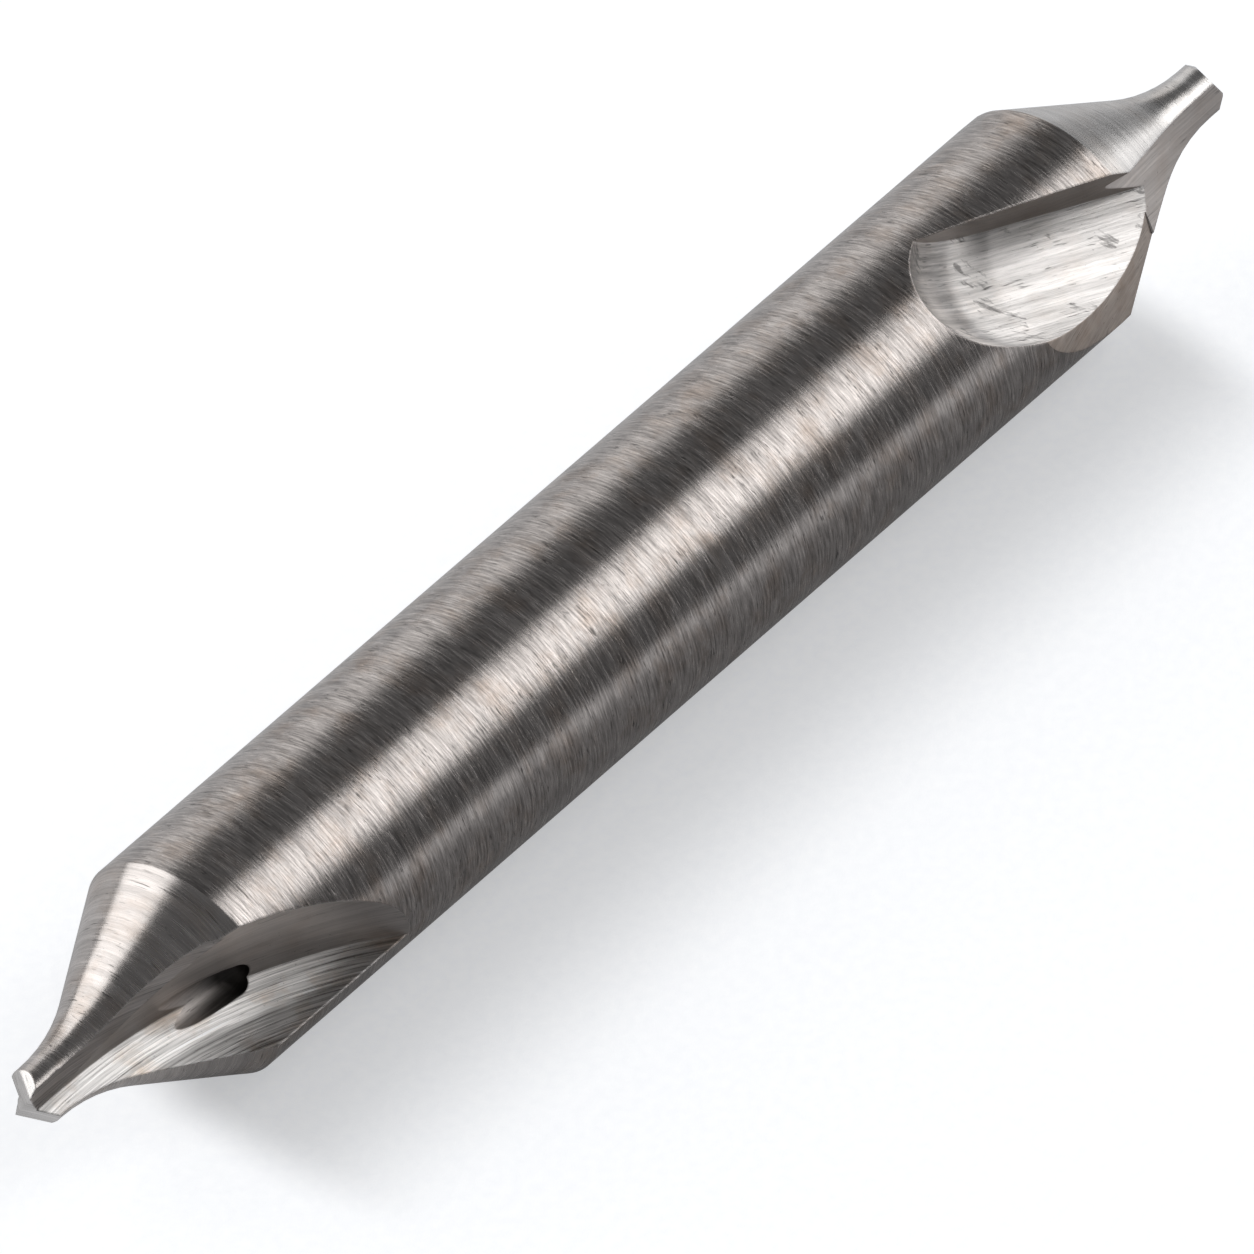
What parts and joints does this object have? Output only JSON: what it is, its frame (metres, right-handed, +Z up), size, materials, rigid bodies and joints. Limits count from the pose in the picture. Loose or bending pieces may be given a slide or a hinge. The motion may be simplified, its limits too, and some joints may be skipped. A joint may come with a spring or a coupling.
{
  "type": "centre drill",
  "caption": "Double-ended ground steel centre drill: a cylindrical body with a fluted countersink and a short pilot drill at each end, for drilling and countersinking lathe centres.",
  "frame": {"origin": "middle of the body on its axis", "axes": "+X along the body towards the rear nose, +Z up with the drill lying on its side"},
  "size_m": [0.045, 0.0062, 0.0062],
  "materials": {
    "ground_steel": "ground and slightly stained high-speed steel"
  },
  "bodies": {
    "root": {"centre_drill": "ground_steel"}
  },
  "joints": []
}
